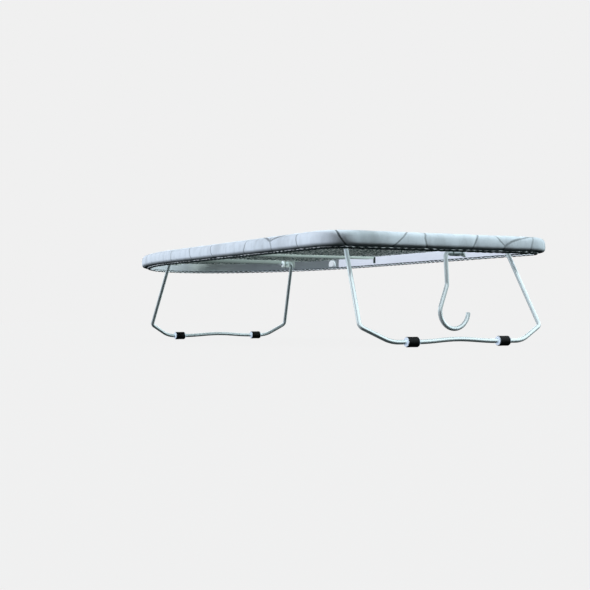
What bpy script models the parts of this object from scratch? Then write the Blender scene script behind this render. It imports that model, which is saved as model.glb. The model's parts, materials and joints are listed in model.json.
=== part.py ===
"""Tabletop ironing board: a padded cover over a steel mesh deck, two folding wire legs and a hanging hook.

Metres. +X points to the rounded nose, +Y to the board's left, +Z up. The feet stand at z = 0, and the
origin is at the bottom centre of the whole object's box. Section points are (inset, z): inset is the
distance in from the board's edge.
"""

from math import acos, atan2, cos, pi, radians, sin, tan

import bmesh
import bpy
from mathutils import Matrix, Quaternion, Vector

# Board outline: straight sides, rounded tail corners, and a nose that is half an ellipse.
BOARD_LENGTH = 0.730
BOARD_WIDTH = 0.318
NOSE_LENGTH = 0.300
TAIL_CORNER_RADIUS = 0.038
NOSE_STEPS = 44
CORNER_STEPS = 8

GAP = 0.0003                # clearance between pieces that touch on the real object
SHEET = 0.0010              # sheet steel of the rails and brackets

# Heights of the board's layers.
RIM_BOTTOM_Z = 0.1104
RIM_TOP_Z = 0.1228
RIM_INSET = 0.0026
RIM_THICKNESS = 0.0012
DECK_THICKNESS = 0.0008
WEB_TOP_Z = RIM_TOP_Z - DECK_THICKNESS - GAP
PAD_BOTTOM_Z = RIM_TOP_Z + GAP
HEM_CORD_INSET = 0.0108
HEM_CORD_RADIUS = 0.0013
HEM_CORD_Z = 0.1078

COVER_OUTER = [(0.030, 0.1276), (0.018, 0.1271), (0.009, 0.1263), (0.004, 0.1252), (0.0010, 0.1230),
               (0.0001, 0.1190), (0.0, 0.1155), (0.0003, 0.1122), (0.0015, 0.1099), (0.004, 0.1090),
               (0.0090, 0.1090)]
COVER_INNER = [(0.0090, 0.1097), (0.0045, 0.1098), (0.0024, 0.1101), (0.0013, 0.1124), (0.0010, 0.1155),
               (0.0012, 0.1190), (0.0020, 0.1229), (0.0044, 0.1244), (0.009, 0.1254), (0.018, 0.1263),
               (0.030, 0.1268)]
PAD_SECTION = [(0.030, 0.1264), (0.018, 0.1259), (0.009, 0.1250), (0.0055, 0.1240), (0.0038, PAD_BOTTOM_Z)]

# Folding legs: one bent wire each, with a rubber sleeve on each side of its foot bar.
WIRE_RADIUS = 0.0025
PIVOT_Z = 0.1170
FOOT_RADIUS = 0.0057
FOOT_LENGTH = 0.0155
FOOT_CHAMFER = 0.0007
FOOT_SEAT = 0.0093          # the bar stays straight this far in from the middle of a sleeve
KNEE_Z = 0.0228
BAR_ARCH = 0.0028
END_BEND_RADIUS = 0.0050
KNEE_BEND_RADIUS = 0.0065
BAR_BEND_RADIUS = 0.0360
WIRE_END_REACH = 0.0200     # how far the wire's bent end runs in past its bracket's ears
TAIL_LEG = {"name": "tail", "x": -0.3226, "splay": -1, "tilt": radians(27.6), "top_half": 0.1116,
            "knee_half": 0.1229, "bar_half": 0.0888, "foot_half": 0.0620}
NOSE_LEG = {"name": "nose", "x": 0.1934, "splay": 1, "tilt": radians(25.1), "top_half": 0.1029,
            "knee_half": 0.1136, "bar_half": 0.0839, "foot_half": 0.0650}

# Leg brackets: a web under the deck, a back wall that stops the leg, and two ears round the wire's end.
# The ears' places are measured in from the leg's wire.
EAR_BOTTOM_Z = 0.1115
BRACKET_FRONT = 0.0070
BRACKET_SIDE = 0.0090
OUTER_EAR = 0.0060
EAR_SPACING = 0.0080
EAR_THICKNESS = 0.0012
PIVOT_HOLE_RADIUS = 0.0029
RING_RADIUS = 0.0044
RING_THICKNESS = 0.0008
RING_CHAMFER = 0.0002

# Cross rails: channels that open downward, under the deck.
RAIL_HALF_WIDTH = 0.0070
RAIL_DEPTH = 0.0050
MIDDLE_RAIL_DEPTH = 0.0034
RAIL_END_CLEARANCE = 0.0015
MIDDLE_RAIL_X = 0.0330
MIDDLE_RAIL_HALF = 0.1490
TONGUE_HALF_WIDTH = 0.0025
TONGUE_BOTTOM_Z = 0.1125

# Hanging hook: an arm through two ears, a shank, and a bowl that is half a circle.
HOOK_X = -0.3455
HOOK_Z = 0.1060
SHANK_Y = -0.0087
SHANK_KNEE_Y = -0.0106
SHANK_KNEE_Z = 0.0697
BOWL_Y = -0.0205
BOWL_Z = 0.0390
BOWL_RADIUS = 0.0197
BOWL_END = radians(-177)        # where the bowl stops, past its lowest point
ARM_END_Y = -0.0345
ARM_END_DROP = 0.0045
HOOK_BEND_RADIUS = 0.0040
HOOK_KNEE_RADIUS = 0.0120
HOOK_EARS_Y = (-0.0301, -0.0181)
HOOK_EAR_BOTTOM_Z = 0.1026
HOOK_EAR_TOP_Z = 0.1096
HOOK_EAR_REACH = 0.0040     # how far the ears reach past the hook's axis
HOOK_PLATE_OFFSET = 0.0033
HOOK_FLANGE_WIDTH = 0.0110

# Clip on the inner face of the rim's right side, between the two legs.
CLIP_X = 0.1460
CLIP_WIDTH = 0.0150
CLIP_HEIGHT = 0.0095
CLIP_BOTTOM_Z = 0.1118

WIRE_RESOLUTION = 4         # bevel resolution of a wire, which gives it 12 sides
CORD_RESOLUTION = 2         # bevel resolution of the hem cord, which gives it 8 sides
ROUND_SIDES = 24
BEND_STEPS = 5
BAR_STEPS = 12
BOWL_STEPS = 18
CLIP_TOP_STEPS = 10
SHARP_ANGLE = radians(35)

COLOURS = {
    "cover": ((0.66, 0.76, 0.86, 1), 0.85, 0.0),
    "foam": ((0.80, 0.80, 0.76, 1), 0.95, 0.0),
    "cord": ((0.70, 0.74, 0.78, 1), 0.80, 0.0),
    "mesh": ((0.12, 0.15, 0.15, 1), 0.55, 0.6),
    "rim": ((0.55, 0.60, 0.62, 1), 0.40, 0.3),
    "rail": ((0.40, 0.47, 0.46, 1), 0.45, 0.3),
    "wire": ((0.80, 0.90, 0.90, 1), 0.30, 0.0),
    "plated": ((0.75, 0.78, 0.80, 1), 0.30, 1.0),
    "rubber": ((0.015, 0.015, 0.016, 1), 0.70, 0.0),
}


def leg_length(leg):
    """Distance from a leg's hinge axis down its plane to the middle of its foot bar."""
    return (PIVOT_Z - FOOT_RADIUS) / cos(leg["tilt"])


def board_centre_x():
    """Where the board's middle lies, so that the origin is central between the tail feet and the nose."""
    tail_reach = -TAIL_LEG["x"] + leg_length(TAIL_LEG) * sin(TAIL_LEG["tilt"]) + FOOT_RADIUS
    return (tail_reach - BOARD_LENGTH / 2) / 2


def clear_scene():
    for thing in list(bpy.data.objects):
        bpy.data.objects.remove(thing, do_unlink=True)


def make_material(name):
    colour, roughness, metallic = COLOURS[name]
    material = bpy.data.materials.new(name)
    material.use_nodes = True
    shader = material.node_tree.nodes["Principled BSDF"]
    shader.inputs["Base Color"].default_value = colour
    shader.inputs["Roughness"].default_value = roughness
    shader.inputs["Metallic"].default_value = metallic
    material.diffuse_color = colour
    return material


def add_object(name, data, material, parent):
    thing = bpy.data.objects.new(name, data)
    bpy.context.scene.collection.objects.link(thing)
    thing.parent = parent
    data.materials.append(bpy.data.materials.get(material) or make_material(material))
    return thing


def add_mesh(name, shape, material, parent, smooth=True):
    bmesh.ops.recalc_face_normals(shape, faces=shape.faces)
    mesh = bpy.data.meshes.new(name)
    shape.to_mesh(mesh)
    shape.free()
    if smooth:
        mesh.shade_smooth()
        mesh.set_sharp_from_angle(angle=SHARP_ANGLE)
    return add_object(name, mesh, material, parent)


def add_empty(name, place, parent=None, turn=0.0):
    empty = bpy.data.objects.new(name, None)
    bpy.context.scene.collection.objects.link(empty)
    empty.location = place
    empty.rotation_euler = (0, turn, 0)
    empty.parent = parent
    return empty


def outline(inset):
    """The board's edge, moved in by inset: from the nose's right shoulder round the tip and the tail."""
    half = BOARD_WIDTH / 2
    shoulder = BOARD_LENGTH / 2 - NOSE_LENGTH
    points = []
    for step in range(NOSE_STEPS + 1):
        angle = -pi / 2 + pi * step / NOSE_STEPS
        inward = Vector((-cos(angle) / NOSE_LENGTH, -sin(angle) / half)).normalized()
        points.append(Vector((shoulder + NOSE_LENGTH * cos(angle), half * sin(angle))) + inset * inward)
    for side in (1, -1):
        centre = Vector((TAIL_CORNER_RADIUS - BOARD_LENGTH / 2, side * (half - TAIL_CORNER_RADIUS)))
        for step in range(CORNER_STEPS + 1):
            turned = pi / 2 * step / CORNER_STEPS
            angle = pi / 2 + turned if side > 0 else pi + turned
            points.append(centre + (TAIL_CORNER_RADIUS - inset) * Vector((cos(angle), sin(angle))))
    return points


def layered_shape(section, closed):
    """Rings of the board's outline, one for each section point, joined in turn.

    A closed section makes a ring-shaped body. An open one is capped at both ends."""
    shape = bmesh.new()
    rings = [[shape.verts.new((point.x, point.y, z)) for point in outline(inset)] for inset, z in section]
    pairs = list(zip(rings, rings[1:]))
    if closed:
        pairs.append((rings[-1], rings[0]))
    else:
        shape.faces.new(rings[0])
        shape.faces.new(list(reversed(rings[-1])))
    for upper, lower in pairs:
        for index in range(len(upper)):
            after = (index + 1) % len(upper)
            shape.faces.new((upper[index], lower[index], lower[after], upper[after]))
    return shape


def turned_ring(name, inner, outer, half_length, chamfer, place, material, parent):
    """A ring about Y with chamfered outer edges."""
    section = [(inner, -half_length), (outer - chamfer, -half_length), (outer, chamfer - half_length),
               (outer, half_length - chamfer), (outer - chamfer, half_length), (inner, half_length)]
    shape = bmesh.new()
    rings = []
    for step in range(ROUND_SIDES):
        angle = 2 * pi * step / ROUND_SIDES
        ring = [(radius * sin(angle), y, radius * cos(angle)) for radius, y in section]
        rings.append([shape.verts.new(point) for point in ring])
    for step, ring in enumerate(rings):
        other = rings[(step + 1) % ROUND_SIDES]
        for index in range(len(section)):
            after = (index + 1) % len(section)
            shape.faces.new((ring[index], ring[after], other[after], other[index]))
    thing = add_mesh(name, shape, material, parent)
    thing.location = place
    return thing


def rounded_path(corners, radii):
    """The corners' path, with each inner corner replaced by an arc of its radius."""
    points = [corners[0]]
    for before, corner, after, radius in zip(corners, corners[1:], corners[2:], radii):
        back = (before - corner).normalized()
        ahead = (after - corner).normalized()
        half_angle = back.angle(ahead) / 2
        centre = corner + (back + ahead).normalized() * radius / sin(half_angle)
        start = corner + back * radius / tan(half_angle) - centre
        end = corner + ahead * radius / tan(half_angle) - centre
        turn = start.rotation_difference(end)
        for step in range(BEND_STEPS + 1):
            points.append(centre + Quaternion().slerp(turn, step / BEND_STEPS) @ start)
    points.append(corners[-1])
    return points


def add_wire(name, points, radius, resolution, material, parent, cyclic=False):
    curve = bpy.data.curves.new(name, "CURVE")
    curve.dimensions = "3D"
    curve.bevel_depth = radius
    curve.bevel_resolution = resolution
    curve.render_resolution_u = 0
    curve.use_fill_caps = True
    spline = curve.splines.new("POLY")
    spline.points.add(len(points) - 1)
    for slot, point in zip(spline.points, points):
        slot.co = (*point, 1)
    spline.use_cyclic_u = cyclic
    return add_object(name, curve, material, parent)


def box_object(name, low, high, material, parent):
    shape = bmesh.new()
    middle = (Vector(low) + Vector(high)) / 2
    size = Vector(high) - Vector(low)
    bmesh.ops.create_cube(shape, size=1, matrix=Matrix.Translation(middle) @ Matrix.Diagonal((*size, 1)))
    return add_mesh(name, shape, material, parent, smooth=False)


def drill_object(name, radius, x, z, low_y, high_y, material, parent):
    """A cylinder along Y, used to cut a round hole."""
    shape = bmesh.new()
    place = Matrix.Translation((x, (low_y + high_y) / 2, z)) @ Matrix.Rotation(pi / 2, 4, "X")
    bmesh.ops.create_cone(shape, cap_ends=True, segments=ROUND_SIDES, radius1=radius, radius2=radius,
                          depth=high_y - low_y, matrix=place)
    return add_mesh(name, shape, material, parent, smooth=False)


def combine(thing, helper, operation):
    """Add or cut a hidden helper object with a Boolean modifier."""
    helper.hide_render = True
    helper.display_type = "WIRE"
    modifier = thing.modifiers.new(helper.name, "BOOLEAN")
    modifier.object = helper
    modifier.operation = operation
    modifier.solver = "EXACT"
    return thing


def span(a, b):
    return (a, b) if a < b else (b, a)


def make_board(board):
    add_mesh("cover", layered_shape(COVER_OUTER + COVER_INNER, closed=False), "cover", board)
    add_mesh("foam_pad", layered_shape(PAD_SECTION, closed=False), "foam", board)
    rim_inner = RIM_INSET + RIM_THICKNESS
    rim_section = [(RIM_INSET, RIM_TOP_Z), (RIM_INSET, RIM_BOTTOM_Z), (rim_inner, RIM_BOTTOM_Z),
                   (rim_inner, RIM_TOP_Z)]
    add_mesh("rim_band", layered_shape(rim_section, closed=True), "rim", board)
    deck_inset = rim_inner + GAP
    deck_section = [(deck_inset, RIM_TOP_Z), (deck_inset, RIM_TOP_Z - DECK_THICKNESS)]
    add_mesh("mesh_deck", layered_shape(deck_section, closed=False), "mesh", board)
    hem_line = [Vector((point.x, point.y, HEM_CORD_Z)) for point in outline(HEM_CORD_INSET)]
    add_wire("hem_cord", hem_line, HEM_CORD_RADIUS, CORD_RESOLUTION, "cord", board, cyclic=True)


def make_rim_clip(board):
    """A small plate with a round top, flat against the rim's inner face on the board's right."""
    half = BOARD_WIDTH / 2
    along = (CLIP_X - BOARD_LENGTH / 2 + NOSE_LENGTH) / NOSE_LENGTH
    angle = -acos(along)
    inward = Vector((-cos(angle) / NOSE_LENGTH, -sin(angle) / half, 0)).normalized()
    edge = Vector((CLIP_X, half * sin(angle), CLIP_BOTTOM_Z))
    face = edge + inward * (RIM_INSET + RIM_THICKNESS + 2 * GAP)
    sideways = Vector((inward.y, -inward.x, 0))
    straight = CLIP_HEIGHT / 2
    profile = [Vector((-CLIP_WIDTH / 2, 0)), Vector((CLIP_WIDTH / 2, 0))]
    for step in range(CLIP_TOP_STEPS + 1):
        turn = pi * step / CLIP_TOP_STEPS
        profile.append(Vector((CLIP_WIDTH / 2 * cos(turn), straight + (CLIP_HEIGHT - straight) * sin(turn))))
    shape = bmesh.new()
    ring = [shape.verts.new(face + sideways * point.x + Vector((0, 0, point.y))) for point in profile]
    front = shape.faces.new(ring)
    made = bmesh.ops.extrude_face_region(shape, geom=[front])["geom"]
    back = [item for item in made if isinstance(item, bmesh.types.BMVert)]
    bmesh.ops.translate(shape, vec=inward * SHEET, verts=back)
    add_mesh("rim_clip", shape, "plated", board)


def make_rail(name, x, half, depth, board):
    """A channel that opens downward."""
    rail = box_object(name, (x - RAIL_HALF_WIDTH, -half, WEB_TOP_Z - depth),
                      (x + RAIL_HALF_WIDTH, half, WEB_TOP_Z), "rail", board)
    inner = RAIL_HALF_WIDTH - SHEET
    hollow = box_object(name + "_hollow", (x - inner, -2 * half, 0), (x + inner, 2 * half, WEB_TOP_Z - SHEET),
                        "rail", board)
    return combine(rail, hollow, "DIFFERENCE")


def make_middle_rail(board):
    """The middle channel, whose ends narrow to tongues that turn down against the rim."""
    rail = make_rail("middle_rail", MIDDLE_RAIL_X, MIDDLE_RAIL_HALF, MIDDLE_RAIL_DEPTH, board)
    low_x = MIDDLE_RAIL_X - TONGUE_HALF_WIDTH
    high_x = MIDDLE_RAIL_X + TONGUE_HALF_WIDTH
    reach = BOARD_WIDTH / 2 - RIM_INSET - RIM_THICKNESS - GAP
    for side, label in ((1, "left"), (-1, "right")):
        start, end = span(side * (MIDDLE_RAIL_HALF - SHEET), side * reach)
        tongue = box_object("middle_tongue_" + label, (low_x, start, WEB_TOP_Z - SHEET),
                            (high_x, end, WEB_TOP_Z), "rail", board)
        combine(rail, tongue, "UNION")
        start, end = span(side * (reach - SHEET), side * reach)
        tab = box_object("middle_tab_" + label, (low_x, start, TONGUE_BOTTOM_Z),
                         (high_x, end, WEB_TOP_Z - SHEET / 2), "rail", board)
        combine(rail, tab, "UNION")


def make_leg_rail(leg, board):
    half = leg["top_half"] - WIRE_END_REACH - RAIL_END_CLEARANCE
    make_rail(leg["name"] + "_rail", leg["x"], half, RAIL_DEPTH, board)


def make_leg_bracket(leg, side, board):
    """A folded bracket round the leg wire's end: web, back wall and two ears."""
    name = leg["name"] + "_bracket_" + ("left" if side > 0 else "right")
    x, splay, half = leg["x"], leg["splay"], leg["top_half"]
    drop = PIVOT_Z - EAR_BOTTOM_Z
    stop = drop * tan(leg["tilt"]) + WIRE_RADIUS / cos(leg["tilt"]) + GAP
    inner_ear = half - OUTER_EAR - EAR_SPACING
    x_span = span(x - splay * BRACKET_FRONT, x + splay * (stop + SHEET))
    y_span = span(side * (inner_ear - EAR_THICKNESS), side * (half + BRACKET_SIDE))
    bracket = box_object(name, (x_span[0], y_span[0], EAR_BOTTOM_Z), (x_span[1], y_span[1], WEB_TOP_Z),
                         "rail", board)
    cut_x = span(x - splay * 2 * BRACKET_FRONT, x + splay * stop)
    rooms = {"between": span(side * inner_ear, side * (half - OUTER_EAR - EAR_THICKNESS)),
             "outside": span(side * (half - OUTER_EAR), side * (half + 2 * BRACKET_SIDE))}
    for label, room in rooms.items():
        space = box_object(name + "_" + label, (cut_x[0], room[0], 0), (cut_x[1], room[1], WEB_TOP_Z - SHEET),
                           "rail", board)
        combine(bracket, space, "DIFFERENCE")
    drill = drill_object(name + "_drill", PIVOT_HOLE_RADIUS, x, PIVOT_Z, y_span[0] - SHEET, y_span[1] + SHEET,
                         "rail", board)
    combine(bracket, drill, "DIFFERENCE")


def leg_points(leg):
    """The leg's wire in its own plane, hanging straight down from its hinge axis."""
    length = leg_length(leg)
    knee_drop = (PIVOT_Z - KNEE_Z) / cos(leg["tilt"])
    bar_edge = leg["foot_half"] - FOOT_SEAT
    corners = [Vector((0, leg["top_half"] - WIRE_END_REACH, 0)), Vector((0, leg["top_half"], 0)),
               Vector((0, leg["knee_half"], -knee_drop)), Vector((0, leg["bar_half"], -length)),
               Vector((0, bar_edge, -length))]
    left = rounded_path(corners, [END_BEND_RADIUS, KNEE_BEND_RADIUS, BAR_BEND_RADIUS])
    arch = []
    for step in range(1, BAR_STEPS):
        along = 1 - 2 * step / BAR_STEPS
        arch.append(Vector((0, bar_edge * along, BAR_ARCH * cos(pi / 2 * along) ** 2 - length)))
    right = [Vector((0, -point.y, point.z)) for point in reversed(left)]
    return left + arch + right


def make_leg(leg, board):
    name = leg["name"]
    pivot = add_empty(name + "_leg_pivot", (leg["x"], 0, PIVOT_Z), board, -leg["splay"] * leg["tilt"])
    add_wire(name + "_leg", leg_points(leg), WIRE_RADIUS, WIRE_RESOLUTION, "wire", pivot)
    bore = WIRE_RADIUS + GAP
    ring_y = leg["top_half"] - OUTER_EAR - EAR_SPACING - EAR_THICKNESS - RING_THICKNESS
    for side, label in ((1, "left"), (-1, "right")):
        foot_place = (0, side * leg["foot_half"], -leg_length(leg))
        turned_ring(name + "_foot_" + label, bore, FOOT_RADIUS, FOOT_LENGTH / 2, FOOT_CHAMFER, foot_place,
                    "rubber", pivot)
        turned_ring(name + "_ring_" + label, bore, RING_RADIUS, RING_THICKNESS / 2, RING_CHAMFER,
                    (0, side * ring_y, 0), "plated", pivot)


def hook_points():
    """The hook's wire about its hinge axis: arm end, arm, shank, and half a circle of bowl."""
    knee = Vector((0, SHANK_KNEE_Y, SHANK_KNEE_Z - HOOK_Z))
    bowl = Vector((0, BOWL_Y, BOWL_Z - HOOK_Z))
    to_knee = knee - bowl
    start = atan2(to_knee.z, to_knee.y) - acos(BOWL_RADIUS / to_knee.length)
    circle = []
    for step in range(BOWL_STEPS + 1):
        angle = start + (BOWL_END - start) * step / BOWL_STEPS
        circle.append(bowl + BOWL_RADIUS * Vector((0, cos(angle), sin(angle))))
    corners = [Vector((0, ARM_END_Y, -ARM_END_DROP)), Vector((0, ARM_END_Y, 0)), Vector((0, SHANK_Y, 0)),
               knee, circle[0]]
    bends = [HOOK_BEND_RADIUS, HOOK_BEND_RADIUS, HOOK_KNEE_RADIUS]
    return rounded_path(corners, bends) + circle[1:]


def make_hook(board):
    pivot = add_empty("hook_pivot", (HOOK_X, 0, HOOK_Z), board)
    add_wire("hanging_hook", hook_points(), WIRE_RADIUS, WIRE_RESOLUTION, "wire", pivot)


def make_hook_bracket(board):
    """A plate hung from the deck, with two ears round the hook's arm."""
    low_y = HOOK_EARS_Y[0]
    high_y = HOOK_EARS_Y[1] + EAR_THICKNESS
    plate_x = HOOK_X + HOOK_PLATE_OFFSET
    bracket = box_object("hook_bracket", (plate_x, low_y, HOOK_EAR_BOTTOM_Z),
                         (plate_x + SHEET, high_y, WEB_TOP_Z), "rail", board)
    flange = box_object("hook_flange", (plate_x, low_y, WEB_TOP_Z - SHEET),
                        (plate_x + HOOK_FLANGE_WIDTH, high_y, WEB_TOP_Z), "rail", board)
    combine(bracket, flange, "UNION")
    for label, ear_y in zip(("right", "left"), HOOK_EARS_Y):
        ear = box_object("hook_ear_" + label, (HOOK_X - HOOK_EAR_REACH, ear_y, HOOK_EAR_BOTTOM_Z),
                         (plate_x + SHEET, ear_y + EAR_THICKNESS, HOOK_EAR_TOP_Z), "rail", board)
        combine(bracket, ear, "UNION")
    drill = drill_object("hook_drill", PIVOT_HOLE_RADIUS, HOOK_X, HOOK_Z, low_y - SHEET, high_y + SHEET,
                         "rail", board)
    combine(bracket, drill, "DIFFERENCE")


def main():
    clear_scene()
    board = add_empty("board_centre", (board_centre_x(), 0, 0))
    make_board(board)
    make_rim_clip(board)
    make_middle_rail(board)
    for leg in (TAIL_LEG, NOSE_LEG):
        make_leg_rail(leg, board)
        for side in (1, -1):
            make_leg_bracket(leg, side, board)
        make_leg(leg, board)
    make_hook_bracket(board)
    make_hook(board)


main()
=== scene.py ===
"""Looks of the tabletop ironing board.

A cotton cover is stretched over felt and an expanded steel deck inside a painted rim. Two folding wire legs
stand on rubber sleeves, and a wire hook hangs under the tail. Metres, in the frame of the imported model:
+X points to the nose, +Y to the board's left, and the feet stand at z = 0.
"""

import json
from math import acos, atan2, cos, pi, radians, sin, tan

import bmesh
import bpy
import numpy as np
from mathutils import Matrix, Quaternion, Vector


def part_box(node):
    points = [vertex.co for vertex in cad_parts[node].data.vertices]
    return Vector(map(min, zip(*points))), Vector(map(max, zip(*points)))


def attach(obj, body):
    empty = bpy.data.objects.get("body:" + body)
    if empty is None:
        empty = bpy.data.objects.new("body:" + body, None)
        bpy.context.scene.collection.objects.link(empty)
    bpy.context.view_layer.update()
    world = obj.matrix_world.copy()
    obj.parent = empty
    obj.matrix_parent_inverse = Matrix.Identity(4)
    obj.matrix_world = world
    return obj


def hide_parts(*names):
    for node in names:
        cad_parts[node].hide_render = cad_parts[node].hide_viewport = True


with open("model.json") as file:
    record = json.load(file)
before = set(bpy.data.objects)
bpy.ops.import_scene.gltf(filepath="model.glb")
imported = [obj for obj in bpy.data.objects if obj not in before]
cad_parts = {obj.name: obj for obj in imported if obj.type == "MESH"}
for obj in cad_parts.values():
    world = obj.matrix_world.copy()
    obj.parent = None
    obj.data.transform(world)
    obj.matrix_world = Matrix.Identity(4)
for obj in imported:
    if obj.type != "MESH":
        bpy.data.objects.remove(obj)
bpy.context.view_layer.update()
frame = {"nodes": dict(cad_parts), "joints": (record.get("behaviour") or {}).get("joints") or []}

# The board's outline, from the cover's box: a nose that is half an ellipse, and round tail corners.
COVER_LOW, COVER_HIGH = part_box("cover")
CENTRE_X = (COVER_LOW.x + COVER_HIGH.x) / 2
HALF_LENGTH = (COVER_HIGH.x - COVER_LOW.x) / 2
HALF_WIDTH = COVER_HIGH.y
TOP_Z = COVER_HIGH.z
NOSE_LENGTH = 0.300
TAIL_CORNER_RADIUS = 0.038

# The cover's section from the fold under the rim to the flat top, as (inset, z).
FOLD_SECTION = [(0.0112, 0.1093), (0.0096, 0.1092), (0.0075, 0.1089), (0.0050, 0.1089), (0.0028, 0.1094),
                (0.0012, 0.1105), (0.0003, 0.1124), (0.0, 0.1153), (0.0002, 0.1190), (0.0009, 0.1223),
                (0.0028, 0.1248), (0.0068, 0.1263), (0.0150, 0.1272), (0.0300, 0.1276)]
SIDE_ROWS = 30
TOP_ROWS = 13
COVER_COLUMNS = 900
FABRIC_THICKNESS = 0.0005
FLAT_INSET = FOLD_SECTION[-1][0]
SIDE_EDGE_INSET = 0.012       # where the side counts as ending and the top as starting
GATHERS = 197                 # ripples round the board: at the hem, over the side, and broad ones
CREASES = 131
SWELLS = 61
SPINE_TAIL_GAP = 0.150        # the line that the top closes in on
SPINE_NOSE_X = 0.190
PAD_COLUMNS = 300

# Hem: the cover's edge is rolled round a cord and overlocked.
CORD_LOW, CORD_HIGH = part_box("hem_cord")
HEM_INSET = 0.0108
HEM_Z = (CORD_LOW.z + CORD_HIGH.z) / 2 + 0.0003
HEM_RADIUS = 0.0015
HEM_SIDES = 16
BINDING_COLUMNS = 2600
# The binding's neck reaches up to the fold, so that its painted shade also fills the groove there.
BINDING_NECK = 0.0002
OUTER_THREAD_RADIUS = 0.00046
INNER_THREAD_RADIUS = 0.00052
THREAD_SIDES = 6
STITCH_PITCH = 0.0095
STITCH_STEPS = 12
STITCH_BEAT = 5               # the stitches' looseness repeats after this many

# Expanded steel deck.
DECK_LOW, DECK_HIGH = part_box("mesh_deck")
DIAMOND_LENGTH = 0.0125
DIAMOND_WIDTH = 0.0062
STRAND_WIDTH = 0.0014
STRAND_THICKNESS = 0.00045
STRAND_TILT = radians(22)
SHORTEST_STRAND = 0.001
DECK_INSET = 0.0044

# Rim, rails and brackets.
RIM_LOW, RIM_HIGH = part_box("rim_band")
RIM_INSET = 0.0026
RIM_THICKNESS = 0.0012
RIM_CORNER = 0.0004
RIM_COLUMNS = 260
STRIP_JOINT_GAP = 0.0075
SHEET = 0.0010
RAIL_TONGUE_Y = 0.1490
WELD_PITCH = 0.028
FORMED_EDGE = 0.0003
CLIP_EDGE = 0.0004
RIVET_EDGE = 0.0035
RIVET_OFFSETS = (-0.0104, 0.0030)

# Legs and hook: bent wire.
WIRE_RADIUS = 0.0025
WIRE_SIDES = 20
WIRE_END_REACH = 0.0200
END_BEND_RADIUS = 0.0050
KNEE_BEND_RADIUS = 0.0065
BAR_BEND_RADIUS = 0.0360
BAR_ARCH = 0.0028
ARCH_STEPS = 24
FOOT_SEAT = 0.0093
KNEE_Z = 0.0228
# Half the width of each leg at its top, at its knees and where its bar starts, and the way it leans along X.
LEGS = {
    "tail": {"top": 0.1116, "knee": 0.1229, "bar": 0.0888, "splay": -1},
    "nose": {"top": 0.1029, "knee": 0.1136, "bar": 0.0839, "splay": 1},
}
SHANK_Y = -0.0087
SHANK_KNEE = (-0.0106, 0.0697)
BOWL = (-0.0205, 0.0390)
BOWL_RADIUS = 0.0197
BOWL_END = radians(-177)
BOWL_STEPS = 30
ARM_END_Y = -0.0345
ARM_END_DROP = 0.0045
HOOK_BEND_RADIUS = 0.0040
HOOK_KNEE_RADIUS = 0.0120
BEND_STEPS = 10

# Camera: where the picture is taken from.
CAMERA_PLACE = (-1.4450, 0.7960, 0.0315)
CAMERA_YAW = radians(-28.755)
CAMERA_PITCH = radians(1.125)
CAMERA_ROLL = radians(-0.155)
CAMERA_LENS = 73.04

# The room: what is seen behind the object, the dome that lights it, and the dome that its gloss reflects.
# A horizon is the range of a direction's z over which a dome goes from its lower to its upper colour.
BACKGROUND = (0.8714, 0.8714, 0.8714)
DOME_UP = (0.30, 0.31, 0.32)
DOME_DOWN = (0.024, 0.034, 0.034)
DOME_HORIZON = (-0.15, 0.60)
GLOSS_UP = (1.2, 1.33, 1.38)
GLOSS_DOWN = (0.03, 0.04, 0.04)
GLOSS_SHADE = (0.22, 0.27, 0.28)
GLOSS_HORIZON = (-0.15, 0.30)
# Bearings between which the upper gloss goes dark, and between which it is bright again.
SHADE_START = (radians(58), radians(72))
SHADE_END = (radians(104), radians(126))

# Suns, as (name, azimuth, elevation, strength, colour, a piece that it leaves out). They cast no shadow.
SUN_SPREAD = radians(8)
SUNS = [("key_left", 66, 15, 2.20, (0.935, 1.0, 1.085), "rim_nose_strip"),
        ("key_left_fill", 66, 15, 0.50, (0.935, 1.0, 1.085), None),
        ("key_tail", 246, 36, 4.1, (0.86, 1.0, 1.02), None)]

FLOOR_REACH = 9
FLOOR_WHITE = (0.88, 0.81, 0.80)
FLOOR_SHADOW = 0.06

# Colours, as linear red, green and blue.
CLOTH_LIGHT = (0.80, 0.86, 0.935)
CLOTH_SHADE = (0.71, 0.775, 0.85)
CLOTH_GREY = (0.42, 0.46, 0.50)
SLUB_GREY = (0.60, 0.66, 0.73)
THREAD_WHITE = (0.95, 0.97, 1.0)
PRINT_INK = (0.09, 0.105, 0.115)
# Painted shade for the cover by the tail's two corners.
CORNER_PAINTED_SHADE = (0.20, 0.23, 0.24)
FOLD_SHADE = (0.03, 0.04, 0.042)
FOLD_SHADE_Z = (0.1090, 0.1140)
THREAD_PITCH = 0.00075
YARN = (1800, 0.8, 0.00008, 0.6)     # its grain, roughness, depth and strength
# The nose strip's paint: a grey darker than the tail strip's paint, as painted shade, and a paler patch of
# painted light.
STRIP_PAINTED_LIGHT = (0.98, 1.0, 0.97)
STRIP_SHADE_GREY = (0.60, 0.62, 0.65)
# Painted shade for the middle rail's lower lips, also put on the tongues at its ends.
RAIL_SHADE_AND_DARK_ENDS = (0.030, 0.040, 0.038)


# --- small geometry tools ---

def link_new(name, data):
    """A new object in the scene."""
    thing = bpy.data.objects.new(name, data)
    bpy.context.scene.collection.objects.link(thing)
    return thing


def add_piece(name, mesh, material, body, replaces=()):
    """Link a mesh as a piece of the object."""
    thing = link_new(name, mesh)
    mesh.materials.append(material)
    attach(thing, body)
    if replaces:
        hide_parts(*replaces)
    return thing


def smooth(mesh, crease=180):
    """Shade a mesh smooth, but for the edges of more than the crease angle, in degrees."""
    mesh.shade_smooth()
    if crease < 180:
        mesh.set_sharp_from_angle(angle=radians(crease))
    return mesh


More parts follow.
